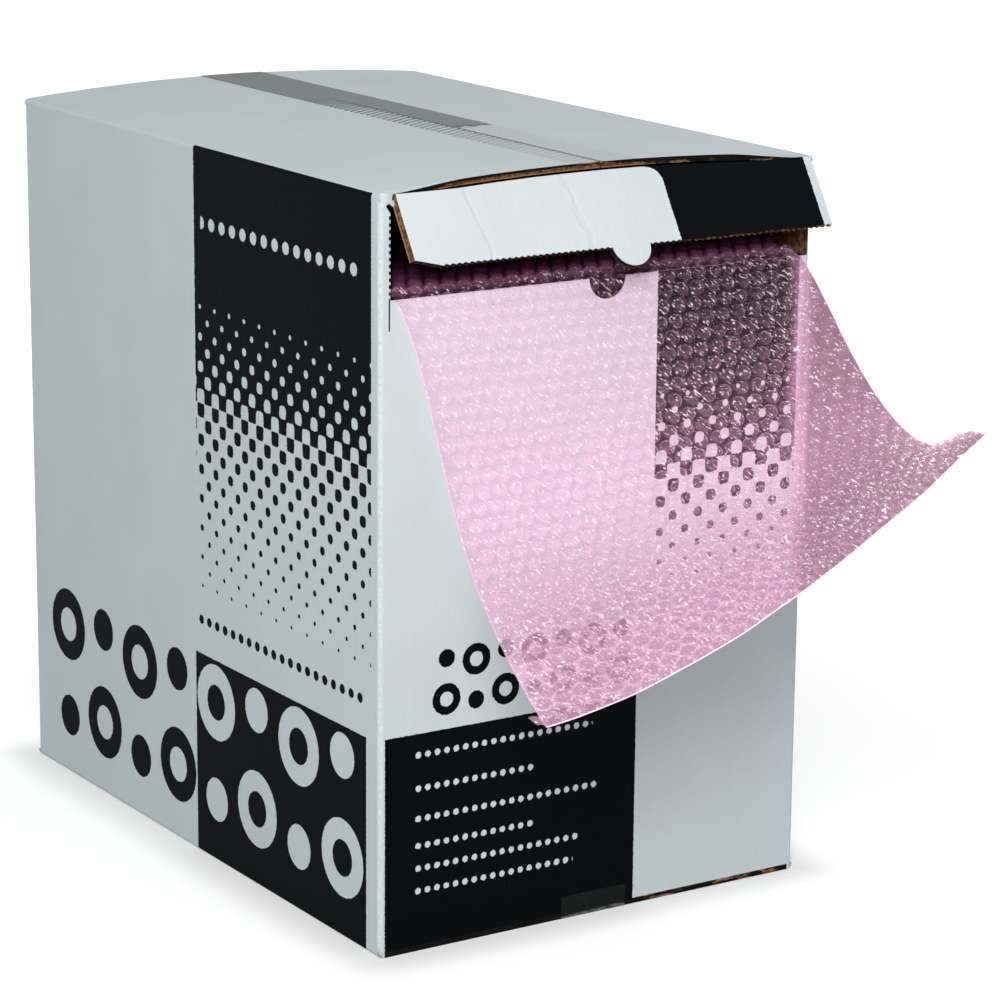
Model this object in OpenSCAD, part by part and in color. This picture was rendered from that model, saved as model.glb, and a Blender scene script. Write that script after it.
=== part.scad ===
// Bubble film on a coreless roll, in the corrugated carton that dispenses it.
// The front panel faces -Y. The origin lies under the middle of the carton's base.

/* [Film] */
// Width of the film
film_w = 305; // [280:1:330]
// Length of film that hangs free outside the carton
free_len = 305; // [260:5:330]
// Thickness of the flat backing film
film_t = 1; // [0.6:0.1:1.5]
// Height of a bubble above the backing film
bubble_h = 4.5; // [3:0.5:6]
// Distance between bubbles along a row
bubble_pitch = 11.7; // [11:0.1:16]
// Height at which the film passes over the slot's lower edge
lip_lift = 0.9; // [0.6:0.1:2]
// Distance at which the film passes in front of the front panel
lip_out = 0.6; // [0.3:0.1:2]

/* [Roll] */
// Outer diameter of the wound roll
roll_d = 466; // [430:1:500]
// Diameter of the open eye that the mandrel leaves
eye_d = 60; // [40:1:90]
// Thickness that one turn adds to the roll
turn_t = 3.2; // [2.5:0.1:4]
// Distance between the lap lines on the roll's ends
lap_pitch = 6.4; // [5:0.1:12]
// Depth of the lap lines
lap_depth = 1; // [0.5:0.1:2]
// How far wandering turns stand out past the film's edges
wander = 0.5; // [0.2:0.1:1]

/* [Carton] */
// Thickness of the corrugated board
board = 4; // [3:0.5:5]
// Segments of each bowed top flap, across
roof_parts = 6; // [4:1:12]
// Room between the film's edges and the side walls
end_room = 6; // [5.5:0.5:12]
// Room in front of, behind and above the roll
roll_room = 8; // [6:0.5:14]
// Outer radius of a folded corner
fold_r = 3; // [1:0.5:4]
// Rise of the bowed top flaps from the side walls to their seam
roof_rise = 7.5; // [5:0.5:12]
// Gap between two flaps that meet at a seam
seam_gap = 1; // [0.5:0.5:3]
// Length of the four inner flaps
inner_flap_len = 158; // [100:2:180]
// Width of the lap that glues the blank into a sleeve
glue_lap_w = 35; // [20:1:45]

/* [Dispensing slot] */
// Distance from the top of the side walls down to the slot's lower edge
slot_drop = 65; // [60:1:75]
// Strip of front panel left standing beside the slot
slot_strip = 7.5; // [6:0.5:15]
// Skin of the side wall left standing at the slot's other end
slot_skin = 1.5; // [1:0.5:2.5]
// Radius of the thumb cut, a tab on the flap and a notch in the slot's lower edge
thumb_r = 14; // [10:0.5:15]
// Place of the thumb cut, right of the middle
thumb_x = 4; // [-20:1:30]
// Width of the tear from the slot's upper left end towards the carton's corner
tear_w = 5.5; // [1:0.5:5.5]
// Height of that tear
tear_h = 8; // [6:1:30]

/* [Dispensing flap] */
// Angle by which the flap stands open
flap_open = 32; // [20:1:60]
// Height of the strip torn away below the flap
torn_strip = 16.5; // [12:0.5:20]
// Width torn away beside the flap's left end
torn_side = 1.5; // [0.5:0.5:3]
// Slant of the cut at the flap's left end, from the outer to the inner liner
cut_slant = 2.5; // [0.5:0.5:4]
// Width of the torn corner
torn_corner_w = 18; // [5:1:30]
// Height of the torn corner
torn_corner_h = 5; // [2:1:10]
// Distance between the teeth of the torn perforation
perf_pitch = 4.5; // [4:0.5:8]
// Depth of the teeth of the torn perforation
perf_depth = 1; // [0.5:0.1:2]
// Running gap between the flap and the carton
flap_gap = 0.3; // [0.2:0.05:0.5]

/* [Tape] */
// Width of the packing tape
tape_w = 50; // [36:1:60]
// Thickness of the packing tape
tape_t = 0.3; // [0.2:0.1:0.5]
// How far the top tape sits right of its seam
tape_offset = 4; // [-8:1:12]
// Length of tape that laps over an edge onto a panel
tape_lap = 15; // [10:1:60]

/* [Hidden] */

// The carton is made to fit the roll.
carton_w = film_w + 2 * (end_room + board);
carton_d = roll_d + 2 * (roll_room + board);
carton_h = board + roll_d + roll_room + 2 * board;
half_w = carton_w / 2;
half_d = carton_d / 2;
deck_z = carton_h - board;
slot_z = carton_h - slot_drop;
// Overshoot of a cutting shape past what it cuts
over = 1;
// Depth of the room behind the front face in which the flap's fold turns
fold_room = board + 2 * flap_gap;

// The roof bows up from the side walls to the seam, in straight segments on a parabola.
roof_part = half_w / roof_parts;
function bow(k) = carton_h + roof_rise * (1 - pow(k / roof_parts, 2));
function roof_z(x) =
    let (k = min(floor(abs(x) / roof_part), roof_parts - 1))
    let (share = abs(x) / roof_part - k)
    bow(k) * (1 - share) + bow(k + 1) * share;
// Places of the segments' joints between two places across the roof
function roof_joints(from, to) =
    [for (k = [-roof_parts : roof_parts]) if (k * roof_part > from && k * roof_part < to) k * roof_part];
roof_angle = atan((bow(roof_parts - 1) - carton_h) / roof_part);

// The film lies round the roll, leaves it as a tangent and passes over the slot's lower edge.
roll_r = roll_d / 2;
roll_z = board + roll_r;
lip_z = slot_z + lip_lift;
inner_turn_r = roll_r - turn_t;
lip_reach = norm([half_d + lip_out, lip_z - roll_z]);
lip_angle = atan2(lip_z - roll_z, half_d + lip_out);
leave_angle = lip_angle + acos(inner_turn_r / lip_reach);
web_len = sqrt(lip_reach * lip_reach - inner_turn_r * inner_turn_r);
web_slope = 90 - leave_angle;

// Drape of the free film: six rows of control points from the slot to the free end. Each point
// is [across, out, down]: across in half widths from the middle, out from the front panel and
// down from the slot's lip in free lengths.
drape = [
    [[-1.00, 0.00, 0.00], [-0.33, 0.00, 0.00], [0.33, 0.00, 0.00], [1.00, 0.00, 0.00]],
    [[-1.00, 0.16, 0.13], [-0.34, 0.10, 0.18], [0.34, 0.11, 0.18], [1.00, 0.18, 0.11]],
    [[-1.00, 0.18, 0.37], [-0.37, 0.10, 0.38], [0.37, 0.12, 0.39], [0.98, 0.22, 0.33]],
    [[-1.02, 0.26, 0.52], [-0.28, 0.33, 0.56], [0.36, 0.44, 0.51], [1.03, 0.58, 0.44]],
    [[-0.96, 0.45, 0.70], [-0.38, 0.53, 0.58], [0.21, 0.64, 0.44], [0.67, 0.66, 0.20]],
    [[-1.09, 0.63, 0.71], [-0.45, 0.73, 0.63], [0.08, 0.82, 0.41], [0.61, 0.86, 0.20]]
];

// Point at t on the Bezier curve of a list of control points
function bezier(p, t) =
    len(p) == 1 ? p[0] : bezier([for (i = [0 : len(p) - 2]) p[i] * (1 - t) + p[i + 1] * t], t);

// Point of the film's inner face: u runs across it, v runs along it. From 0 to 1 v covers the
// free length, and below 0 it runs back inside the carton to where the film leaves the roll.
function film_point(u, v) =
    v < 0 ? web_point(u, -v * free_len) : drape_point(bezier([for (row = drape) bezier(row, u)], v));
function drape_point(p) =
    [p[0] * film_w / 2, -half_d - lip_out - p[1] * free_len, lip_z - p[2] * free_len];
function web_point(u, back) =
    [(u - 0.5) * film_w, -half_d - lip_out + back * cos(web_slope), lip_z + back * sin(web_slope)];

// Outward direction of the film's face, from neighbouring points a short step away
normal_step = 0.004;
function unit(p) = p / norm(p);
function film_normal(u, v) =
    let (d = normal_step)
    let (along = film_point(u, min(v + d, 1)) - film_point(u, v - d))
    let (across = film_point(min(u + d, 1), v) - film_point(max(u - d, 0), v))
    unit(cross(along, across));
function film_outer(u, v, lift) = film_point(u, v) + film_normal(u, v) * lift;

// Bubbles stand in staggered rows. The valley between two rows zigzags round their feet, by a
// share of the row's length, so that each foot is a hexagon.
zigzag = 1 / 6;
per_row = round(film_w / bubble_pitch);
columns = 2 * per_row;
rows = round(free_len * per_row / (film_w * sin(60)));
function bubble_here(r, i) = (i + r) % 2 == 1 && i > 0 && i < columns;
function valley_v(k, i) =
    k == 0 ? 0 : k == rows ? 1 : (k + (bubble_here(k - 1, i) ? zigzag : -zigzag)) / rows;

// What a fold takes off a square corner at the origin
module corner_waste() {
    difference() {
        translate([-over, -over])
            square(fold_r + over);
        translate([fold_r, fold_r])
            circle(fold_r, $fn = 48);
    }
}

// Side wall with its outer top and bottom flap, folded from one strip of board
module side_strip() {
    flap_end = half_w - seam_gap / 2;
    joints = roof_joints(-half_w + board, -seam_gap / 2);
    top = [for (x = concat([-half_w], joints, [-seam_gap / 2])) [half_w + x, roof_z(x)]];
    under = [for (x = concat([-half_w + board], joints, [-seam_gap / 2])) [half_w + x, roof_z(x) - board]];
    last = len(under) - 1;
    fold_z = carton_h + fold_r * tan(roof_angle) - fold_r / cos(roof_angle);
    tangent = [fold_r * (1 - sin(roof_angle)), fold_z + fold_r * cos(roof_angle)];
    translate([-half_w, half_d, 0])
        rotate([90, 0, 0])
            linear_extrude(carton_d)
                difference() {
                    polygon(concat(
                        [[0, 0]], top, [for (i = [last : -1 : 0]) under[i]],
                        [[board, board], [flap_end, board], [flap_end, 0]]
                    ));
                    corner_waste();
                    difference() {
                        polygon([
                            [-over, fold_z], [fold_r, fold_z], tangent,
                            [tangent[0], carton_h + over], [-over, carton_h + over]
                        ]);
                        translate([fold_r, fold_z])
                            circle(fold_r, $fn = 48);
                    }
                }
}

// Front and back wall, each with its inner flaps folded in under the outer ones
module end_walls() {
    inner_w = carton_w - 2 * board;
    for (my = [0, 1])
        mirror([0, my, 0])
            translate([-inner_w / 2, -half_d, board]) {
                cube([inner_w, board, deck_z - board]);
                cube([inner_w, board + inner_flap_len, board]);
                translate([0, 0, deck_z - 2 * board])
                    cube([inner_w, board + inner_flap_len, board]);
            }
}

// The slot, its thumb notch, and room for the flap's fold to turn in, up past the roof's front
module slot_cut() {
    left = -half_w + slot_strip;
    right = half_w - slot_skin;
    top = carton_h + roof_rise + over;
    translate([0, -half_d + fold_room, 0])
        rotate([90, 0, 0])
            linear_extrude(fold_room + over)
                polygon([
                    [left, slot_z], [right, slot_z], [right, top], [left - tear_w, top],
                    [left - tear_w, deck_z], [left, deck_z - tear_h]
                ]);
    translate([thumb_x, -half_d - over, slot_z])
        rotate([-90, 0, 0])
            cylinder(r = thumb_r, h = board + 2 * over, $fn = 64);
}

module carton() {
    color("lightsteelblue")
        difference() {
            union() {
                side_strip();
                mirror([1, 0, 0])
                    side_strip();
                end_walls();
                // Lap of the glued joint, inside a back corner
                translate([half_w - 2 * board, half_d - board - glue_lap_w, 2 * board])
                    cube([board, glue_lap_w, deck_z - 3 * board]);
            }
            slot_cut();
            // Folded upright corners
            for (mx = [0, 1], my = [0, 1])
                mirror([mx, 0, 0])
                    mirror([0, my, 0])
                        translate([-half_w, -half_d, board])
                            linear_extrude(deck_z - board)
                                corner_waste();
            // Seat of the bottom tape, pressed flush into the base
            translate([-tape_w / 2, -half_d - over, -over])
                cube([tape_w, carton_d + 2 * over, tape_t + over]);
        }
}

// The flap hangs down from its fold, which bows up under the roof.
flap_left = -half_w + slot_strip + flap_gap + torn_side + cut_slant;
flap_right = half_w - slot_skin - flap_gap;
flap_bottom = -(slot_drop - torn_strip);
function fold_y(x) = max(0, roof_z(x) - board - carton_h) - flap_gap;

// Outline of the flap, with the middle of its fold at the origin
module flap_outline() {
    start = flap_left + torn_corner_w;
    teeth = floor((flap_right - start) / perf_pitch);
    joints = roof_joints(flap_left, flap_right);
    fold = [for (i = [len(joints) - 1 : -1 : 0]) [joints[i], fold_y(joints[i])]];
    union() {
        polygon(concat(
            [[flap_right, flap_bottom], [flap_right, -flap_gap]], fold,
            [[flap_left, -flap_gap], [flap_left, flap_bottom + torn_corner_h]],
            [for (i = [0 : 2 * teeth])
                [start + i * perf_pitch / 2, flap_bottom + (i % 2) * perf_depth]]
        ));
        translate([thumb_x, flap_bottom + perf_depth])
            difference() {
                circle(thumb_r, $fn = 64);
                translate([-thumb_r - over, 0])
                    square(2 * (thumb_r + over));
            }
    }
}

// Slanted cut at the flap's left end, where the inner liner reaches further than the outer
module flap_slant() {
    length = -flap_gap - flap_bottom - torn_corner_h;
    translate([flap_left, flap_gap, flap_bottom + torn_corner_h])
        linear_extrude(length)
            polygon([[0, 0], [0, board], [-cut_slant, board]]);
}

// The panel cut free above the slot, still joined at the top fold and lifted outwards
module dispenser_flap() {
    color("white")
        translate([0, -half_d, carton_h])
            rotate([-flap_open, 0, 0])
                union() {
                    translate([0, board + flap_gap, 0])
                        rotate([90, 0, 0])
                            linear_extrude(board)
                                flap_outline();
                    flap_slant();
                }
}

// Groove of one lap line: [place within the pitch, share of the depth]
lap_groove = [[0.3, 0], [0.6, 1], [0.9, 0]];

// Wound turns, with the lap lines that their edges draw on both ends
module wound_turns() {
    laps = floor((roll_r - eye_d / 2) / lap_pitch);
    end_x = film_w / 2 + wander;
    face = concat(
        [[eye_d / 2, end_x]],
        [for (k = [0 : laps - 1], g = lap_groove)
            [eye_d / 2 + (k + g[0]) * lap_pitch, end_x - g[1] * lap_depth]],
        [[roll_r, end_x]]
    );
    other = [for (i = [len(face) - 1 : -1 : 0]) [face[i][0], -face[i][1]]];
    translate([0, 0, roll_z])
        rotate([0, 90, 0])
            rotate_extrude($fn = 120)
                polygon(concat(face, other));
}

// Film from the roll to its free end: a flat web inside the carton and a bubbled, draped sheet
module fed_film() {
    web_v = -web_len / free_len;
    lines = concat([-1], [for (k = [0 : rows]) k]);
    inner = [for (k = lines) for (i = [0 : columns])
        film_point(i / columns, k < 0 ? web_v : valley_v(k, i))];
    outer = [for (k = lines) for (i = [0 : columns])
        film_outer(i / columns, k < 0 ? web_v : valley_v(k, i), film_t)];
    spots = [for (r = [0 : rows - 1]) for (i = [1 : columns - 1]) if (bubble_here(r, i)) [r, i]];
    peaks = [for (s = spots) film_outer(s[1] / columns, (s[0] + 0.5) / rows, film_t + bubble_h)];
    wide = columns + 1;
    count = len(inner);
    last = len(lines) - 1;
    under = [for (k = [0 : last - 1]) for (i = [0 : columns - 1])
        let (a = k * wide + i)
        each [[a, a + wide, a + 1], [a + 1, a + wide, a + wide + 1]]];
    web_top = [for (i = [0 : columns - 1])
        let (a = count + i)
        each [[a, a + 1, a + wide], [a + 1, a + wide + 1, a + wide]]];
    half_cells = [for (r = [0 : rows - 1]) for (i = [0, columns - 1])
        if (i == 0 ? !bubble_here(r, 1) : !bubble_here(r, columns - 1))
            let (a = count + (r + 1) * wide + i)
            each [[a, a + 1, a + wide], [a + 1, a + wide + 1, a + wide]]];
    bubbles = [for (n = [0 : len(spots) - 1])
        let (a = count + (spots[n][0] + 1) * wide + spots[n][1])
        let (ring = [a - 1, a, a + 1, a + wide + 1, a + wide, a + wide - 1])
        for (j = [0 : 5]) [2 * count + n, ring[j], ring[(j + 1) % 6]]];
    sides = [for (k = [0 : last - 1]) for (i = [0, columns])
        let (a = k * wide + i)
        let (b = a + wide)
        let (wall = [[a, b, b + count], [a, b + count, a + count]])
        for (f = wall) i > 0 ? f : [f[0], f[2], f[1]]];
    ends = [for (k = [0, last]) for (i = [0 : columns - 1])
        let (a = k * wide + i)
        let (wall = [[a, a + count, a + count + 1], [a, a + count + 1, a + 1]])
        for (f = wall) k > 0 ? f : [f[0], f[2], f[1]]];
    polyhedron(
        points = concat(inner, outer, peaks),
        faces = concat(under, web_top, half_cells, bubbles, sides, ends)
    );
}

module film_roll() {
    color("plum")
        union() {
            wound_turns();
            fed_film();
        }
}

module top_tape() {
    left = tape_offset - tape_w / 2;
    right = tape_offset + tape_w / 2;
    places = concat([left], roof_joints(left, right), [right]);
    roof_side = [for (x = places) [x, roof_z(x)]];
    outer_side = [for (i = [len(places) - 1 : -1 : 0]) roof_side[i] + [0, tape_t]];
    lap_end = [for (x = [left, right]) [x, carton_h - tape_lap]];
    color("gray")
        translate([0, half_d, 0])
            rotate([90, 0, 0]) {
                linear_extrude(carton_d - fold_room)
                    polygon(concat(roof_side, outer_side));
                translate([0, 0, -tape_t])
                    linear_extrude(tape_t)
                        polygon(concat(lap_end, outer_side));
            }
}

module bottom_tape() {
    color("gray") {
        translate([-tape_w / 2, -half_d - tape_t, 0])
            cube([tape_w, carton_d + 2 * tape_t, tape_t]);
        for (y = [-half_d - tape_t, half_d])
            translate([-tape_w / 2, y, 0])
                cube([tape_w, tape_t, tape_lap]);
    }
}

carton();
dispenser_flap();
film_roll();
top_tape();
bottom_tape();
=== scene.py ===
import math

import bmesh
import bpy
import numpy as np
from mathutils import Matrix, Vector, noise


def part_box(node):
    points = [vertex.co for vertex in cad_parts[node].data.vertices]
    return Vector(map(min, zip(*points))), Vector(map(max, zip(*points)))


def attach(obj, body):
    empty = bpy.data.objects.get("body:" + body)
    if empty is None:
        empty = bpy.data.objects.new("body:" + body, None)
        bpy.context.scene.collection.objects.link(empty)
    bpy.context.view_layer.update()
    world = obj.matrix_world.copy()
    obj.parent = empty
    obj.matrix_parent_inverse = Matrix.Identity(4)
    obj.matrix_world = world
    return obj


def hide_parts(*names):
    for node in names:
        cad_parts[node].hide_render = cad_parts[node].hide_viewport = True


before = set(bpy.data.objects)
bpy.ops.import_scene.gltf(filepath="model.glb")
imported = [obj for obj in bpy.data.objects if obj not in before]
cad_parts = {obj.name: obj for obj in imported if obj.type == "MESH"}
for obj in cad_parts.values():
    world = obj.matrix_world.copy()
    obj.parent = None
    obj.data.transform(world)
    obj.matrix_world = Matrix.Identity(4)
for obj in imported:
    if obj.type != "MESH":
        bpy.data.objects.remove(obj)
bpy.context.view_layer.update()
scene = bpy.context.scene

# Sizes of the pack, in metres
MM = 0.001
HALF_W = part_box("carton")[1].x
HALF_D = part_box("carton")[1].y
BOARD = 0.004
WALL_TOP = 0.486
ROOF_RISE = 0.0075
DECK = WALL_TOP - BOARD
SLOT_Z = 0.421
SLOT_LEFT = -HALF_W + 0.0075
FLUTE = 0.0079

# The lifted flap: its fold runs along X through the hinge
HINGE = Vector((0, -HALF_D, WALL_TOP))
FLAP_OPEN = math.radians(32)
FLAP_GAP = 0.0003

# The film: its width, its free length outside the slot, and the web from there back to the roll
FILM_W = 0.305
FREE = 0.305
ROLL_R = 0.233
ROLL_Z = BOARD + ROLL_R
LEAVING_R = ROLL_R - 0.0032
LIP = Vector((0, -HALF_D - 0.0006, SLOT_Z + 0.0009))
LIP_BEND = 0.008
FILM_LIFT = 0.0006
FOOT_LIFT = 0.0009
BUBBLES_ACROSS = 26
ROWS_OUT = 30
ROWS_IN = 12
BUBBLE_D = 0.0104
BUBBLE_H = 0.0045

lip_reach = math.hypot(LIP.y, LIP.z - ROLL_Z)
lip_angle = math.atan2(LIP.z - ROLL_Z, -LIP.y)
WEB = math.sqrt(lip_reach**2 - LEAVING_R**2)
WEB_SLOPE = math.pi / 2 - lip_angle - math.acos(LEAVING_R / lip_reach)

# Drape of the free film: rows of control points from the slot to the free end. Each point is
# [across, out, down]: half widths from the middle, then free lengths from the slot's lip.
DRAPE = np.array([
    [[-1.00, 0.00, 0.00], [-0.33, 0.00, 0.00], [0.33, 0.00, 0.00], [1.00, 0.00, 0.00]],
    [[-1.00, 0.16, 0.13], [-0.34, 0.10, 0.18], [0.34, 0.11, 0.18], [1.00, 0.18, 0.11]],
    [[-1.00, 0.18, 0.37], [-0.37, 0.10, 0.38], [0.37, 0.12, 0.39], [0.98, 0.22, 0.33]],
    [[-1.02, 0.26, 0.52], [-0.28, 0.33, 0.56], [0.36, 0.44, 0.51], [1.03, 0.58, 0.44]],
    [[-0.96, 0.45, 0.70], [-0.38, 0.53, 0.58], [0.21, 0.64, 0.44], [0.67, 0.66, 0.20]],
    [[-1.09, 0.63, 0.71], [-0.45, 0.73, 0.63], [0.08, 0.82, 0.41], [0.61, 0.86, 0.20]],
])

# Colours, as linear red, green and blue. The tints say how much of each the film lets through.
WHITE_LINER = (0.61, 0.675, 0.69)
# The flap's liner: the walls' white liner painted lighter, as painted light
FLAP_LINER_LIT = (0.68, 0.73, 0.745)
# Rubbed liner, which is also a painted highlight along the upright folds
RUBBED_AND_LIT_LINER = (0.80, 0.85, 0.86)
# Painted shade in the flap's creases
CREASE_SHADE_LINER = (0.45, 0.50, 0.53)
INK = (0.0016, 0.0028, 0.0034)
WORN_INK = (0.08, 0.09, 0.095)
TAPE_DARK = (0.040, 0.052, 0.057)
TAPE_PALE = (0.070, 0.087, 0.095)
TAPE_SEAM = (0.04, 0.04, 0.042)
BASE_TAPE_DARK = (0.0045, 0.0058, 0.0056)
BASE_TAPE_PALE = (0.014, 0.017, 0.016)
BASE_TAPE_RIM = (0.30, 0.31, 0.31)
KRAFT = (0.33, 0.175, 0.083)
# Painted shade on cut edges: the darker core between the liners, and dark patches
KRAFT_CORE_SHADED = (0.085, 0.038, 0.015)
EDGE_SHADE = (0.008, 0.0065, 0.006)
FILM_PINK = (0.96, 0.43, 0.70)
# Painted shade beyond the carton's right edge: the film there is darker mauve
FILM_SHADE_BEYOND_DARK = (0.320, 0.165, 0.240)
FILM_SHADE_BEYOND_PALE = (0.545, 0.312, 0.434)
# Painted light: the film is paler towards its loose end
FILM_END_LIT = (0.93, 0.600, 0.790)
# Painted shade inside the slot: the film there is coloured dark
FILM_SHADE_AT_LIP = (0.085, 0.018, 0.055)
FILM_SHADE_INSIDE = (0.014, 0.004, 0.009)
# Painted shade: the wound roll is coloured dark, as the carton's inside
WOUND_SHADE_DARK = (0.05, 0.012, 0.032)
WOUND_SHADE_LIGHT = (0.16, 0.06, 0.12)
BACKING_TINT = (0.935, 0.692, 0.800)
BUBBLE_TINT = (1.0, 0.985, 0.995)
# Painted light: light passing the film on its way to the panel is made brighter
PANEL_LIGHT = (1.135, 1.120, 1.130)
# Painted glints on the film
FILM_GLINT = (1.0, 0.88, 0.95)
RIM_PINK = (0.97, 0.70, 0.86)
TORN_PINK = (0.98, 0.88, 0.94)

# How the film takes light. Shares of the free length say where an effect starts and is full.
FILM_IOR = 1.20
FILM_GLOSS = 0.11
GLINT_DENSITY = 0.62
INSIDE_SHADE_DENSITY = 0.95
LOOSE_START, LOOSE_FULL, LOOSE_HOLD = 0.40, 0.75, 0.72


# Camera, fitted to seven corners of the carton in the photograph
def make_camera():
    place = Vector((-1.26102, -2.08150, 0.83137))
    right = Vector((0.84121, -0.54064, 0.00879)).normalized()
    back = Vector((-0.52643, -0.81517, 0.24160)).normalized()
    data = bpy.data.cameras.new("photo_view")
    data.sensor_width = 36
    data.lens = 130.07
    data.clip_end = 50
    camera = bpy.data.objects.new("photo_view", data)
    turn = Matrix((right, back.cross(right), back)).transposed()
    camera.matrix_world = Matrix.Translation(place) @ turn.to_4x4()
    scene.collection.objects.link(camera)
    scene.camera = camera


# Shader and geometry nodes
class Graph:
    """Adds nodes to one node tree. A value may be a number, a colour, a vector or a socket."""

    def __init__(self, tree):
        self.tree = tree

    def feed(self, socket, value):
        if isinstance(value, bpy.types.NodeSocket):
            self.tree.links.new(value, socket)
        elif value is not None:
            if hasattr(value, "__len__") and socket.type == "RGBA" and len(value) == 3:
                value = (*value, 1)
            socket.default_value = value

    def node(self, kind, inputs=None, **settings):
        made = self.tree.nodes.new(kind)
        for name, value in settings.items():
            setattr(made, name, value)
        for name, value in (inputs or {}).items():
            self.feed(made.inputs[name], value)
        return made

    def math(self, operation, a, b=None, c=None):
        made = self.node("ShaderNodeMath", operation=operation)
        for socket, value in zip(made.inputs, (a, b, c)):
            self.feed(socket, value)
        return made.outputs[0]

    def sum(self, *values):
        total = values[0]
        for value in values[1:]:
            total = self.math("ADD", total, value)
        return total

    def product(self, *values):
        total = values[0]
        for value in values[1:]:
            total = self.math("MULTIPLY", total, value)
        return total

    def minus(self, a, b):
        return self.math("SUBTRACT", a, b)

    def either(self, a, b):
        return self.math("MAXIMUM", a, b)

    def above(self, value, limit):
        return self.math("GREATER_THAN", value, limit)

    def below(self, value, limit):
        return self.math("LESS_THAN", value, limit)

    def within(self, value, low, high):
        return self.product(self.above(value, low), self.below(value, high))

    def opposite(self, value):
        return self.minus(1, value)

    def over(self, a, b):
        return self.math("DIVIDE", a, b)

    def size(self, value):
        """The value without its sign."""
        return self.math("ABSOLUTE", value)

    def length(self, a, b):
        """Length of a line whose legs are a and b."""
        return self.math("SQRT", self.sum(self.product(a, a), self.product(b, b)))

    def rise(self, value, start, end, low=0.0, high=1.0):
        """A smooth step from low to high as value goes from start to end."""
        made = self.node("ShaderNodeMapRange", interpolation_type="SMOOTHSTEP")
        for name, number in (("Value", value), ("From Min", start), ("From Max", end),
                             ("To Min", low), ("To Max", high)):
            self.feed(made.inputs[name], number)
        return made.outputs[0]

    def vector(self, operation, a, b=None):
        made = self.node("ShaderNodeVectorMath", operation=operation)
        self.feed(made.inputs[0], a)
        if operation == "SCALE":
            self.feed(made.inputs["Scale"], b)
        else:
            self.feed(made.inputs[1], b)
        return made.outputs["Value" if operation == "LENGTH" else "Vector"]

    def split(self, vector):
        return self.node("ShaderNodeSeparateXYZ", {"Vector": vector}).outputs[:]

    def join(self, x, y, z):
        return self.node("ShaderNodeCombineXYZ", {"X": x, "Y": y, "Z": z}).outputs[0]

    def mix(self, factor, a, b):
        made = self.node("ShaderNodeMix", data_type="RGBA")
        for index, value in ((0, factor), (6, a), (7, b)):
            self.feed(made.inputs[index], value)
        return made.outputs[2]

    def noise(self, vector, scale, detail=2.0, roughness=0.5):
        inputs = {"Vector": vector, "Scale": scale, "Detail": detail, "Roughness": roughness}
        return self.node("ShaderNodeTexNoise", inputs)

    def group(self, tree, **inputs):
        made = self.node("ShaderNodeGroup", node_tree=tree)
        for name, value in inputs.items():
            self.feed(made.inputs[name.replace("_", " ")], value)
        return made.outputs


def new_group(name, inputs, outputs):
    """A shader node group. inputs is {name: default}, outputs is {name: socket kind}."""
    tree = bpy.data.node_groups.new(name, "ShaderNodeTree")
    for label, default in inputs.items():
        kind = "Vector" if default is None else "Color" if hasattr(default, "__len__") else "Float"
        socket = tree.interface.new_socket(label, in_out="INPUT", socket_type="NodeSocket" + kind)
        if default is not None:
            socket.default_value = (*default, 1) if kind == "Color" else default
    for label, kind in outputs.items():
        tree.interface.new_socket(label, in_out="OUTPUT", socket_type="NodeSocket" + kind)
    graph = Graph(tree)
    return graph, graph.node("NodeGroupInput").outputs, graph.node("NodeGroupOutput").inputs


def new_material(name, **sockets):
    """A material with one Principled shader, whose plain values are set by name."""
    material = bpy.data.materials.new(name)
    material.use_nodes = True
    material.node_tree.nodes.clear()
    graph = Graph(material.node_tree)
    shader = graph.node("ShaderNodeBsdfPrincipled")
    for label, value in sockets.items():
        graph.feed(shader.inputs[label.replace("_", " ")], value)
    output = graph.node("ShaderNodeOutputMaterial")
    graph.feed(output.inputs["Surface"], shader.outputs[0])
    return material, graph, shader, output


def place_in_mm(graph):
    at = graph.node("ShaderNodeTexCoord").outputs["Object"]
    return graph.vector("SCALE", at, 1 / MM)


def bump(graph, shader, height, depth_mm):
    made = graph.node("ShaderNodeBump", {"Height": height, "Distance": depth_mm * MM, "Strength": 1.0})
    graph.feed(shader.inputs["Normal"], made.outputs[0])


# Shared effects, in millimetres
def liner_group():
    """Tone of a bleached liner over flutes: mottling, fibres, and the washboard lines painted faintly
    into the tone as shade of the ripple.
    """
    graph, given, result = new_group(
        "liner over flutes",
        {"Place": None, "Across Flutes": 0.0, "Tone": WHITE_LINER},
        {"Color": "Color", "Height": "Float"})
    clouds = graph.noise(given["Place"], 0.018, 1).outputs[0]
    fibres = graph.noise(given["Place"], 0.9, 2, 0.7).outputs[0]
    board_waves = graph.math("SINE", graph.product(given["Across Flutes"], 2 * math.pi / (FLUTE / MM)))
    tone = graph.sum(
        graph.product(graph.minus(clouds, 0.5), 0.10),
        graph.product(graph.minus(fibres, 0.5), 0.10),
        # painted shade: the washboard ripple lightens and darkens the tone a little
        graph.product(board_waves, 0.004),
        1)
    graph.feed(result["Color"], graph.vector("SCALE", given["Tone"], tone))
    graph.feed(result["Height"], graph.sum(graph.product(board_waves, 0.13), graph.product(fibres, 0.5)))
    return graph.tree


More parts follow.
